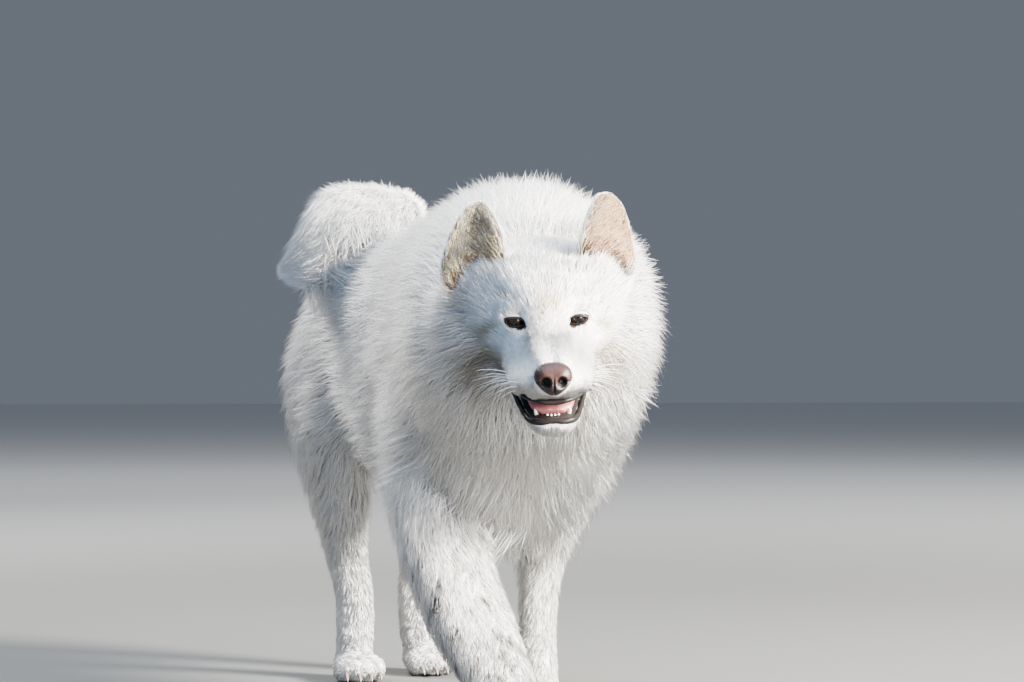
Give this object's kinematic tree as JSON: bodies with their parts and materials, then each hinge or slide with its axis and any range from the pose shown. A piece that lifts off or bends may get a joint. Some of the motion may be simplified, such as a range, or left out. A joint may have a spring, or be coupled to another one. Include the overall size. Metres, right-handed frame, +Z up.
{
  "type": "samoyed",
  "caption": "Life-size samoyed dog walking with its head low and turned, mouth slightly open, thick white mane and a plumed tail curled over its back.",
  "frame": {"origin": "on the floor, under the middle of the dog's bounding box", "axes": "+Z up, the dog faces -Y with its tail towards +Y, its right side is -X and its left side +X"},
  "size_m": [0.3604, 0.9529, 0.6207],
  "materials": {
    "coat": "dense long white fur, cream on the face and ears",
    "nose": "moist fine-pebbled dark brown skin",
    "tongue": "moist pink tongue",
    "eye": "wet dark brown eye",
    "skin": "skin under the coat, covered all over",
    "lip": "wet black lips and eyelid rims",
    "tooth": "smooth ivory tooth",
    "claw": "smooth pale horn claw",
    "pad": "dark rough paw pad"
  },
  "bodies": {
    "root": {"head": "coat", "jaw": "coat", "ear_right": "coat", "ear_left": "coat", "neck": "coat", "torso": "coat", "tail": "coat", "foreleg_right": "coat", "forearm_right": "coat", "forepaw_right": "coat", "thigh_right": "coat", "hock_right": "coat", "hindpaw_right": "coat", "foreleg_left": "coat", "forearm_left": "coat", "forepaw_left": "coat", "thigh_left": "coat", "hock_left": "coat", "hindpaw_left": "coat", "nose": "nose", "tongue": "tongue", "eye_right": "eye", "eye_left": "eye"}
  },
  "joints": []
}
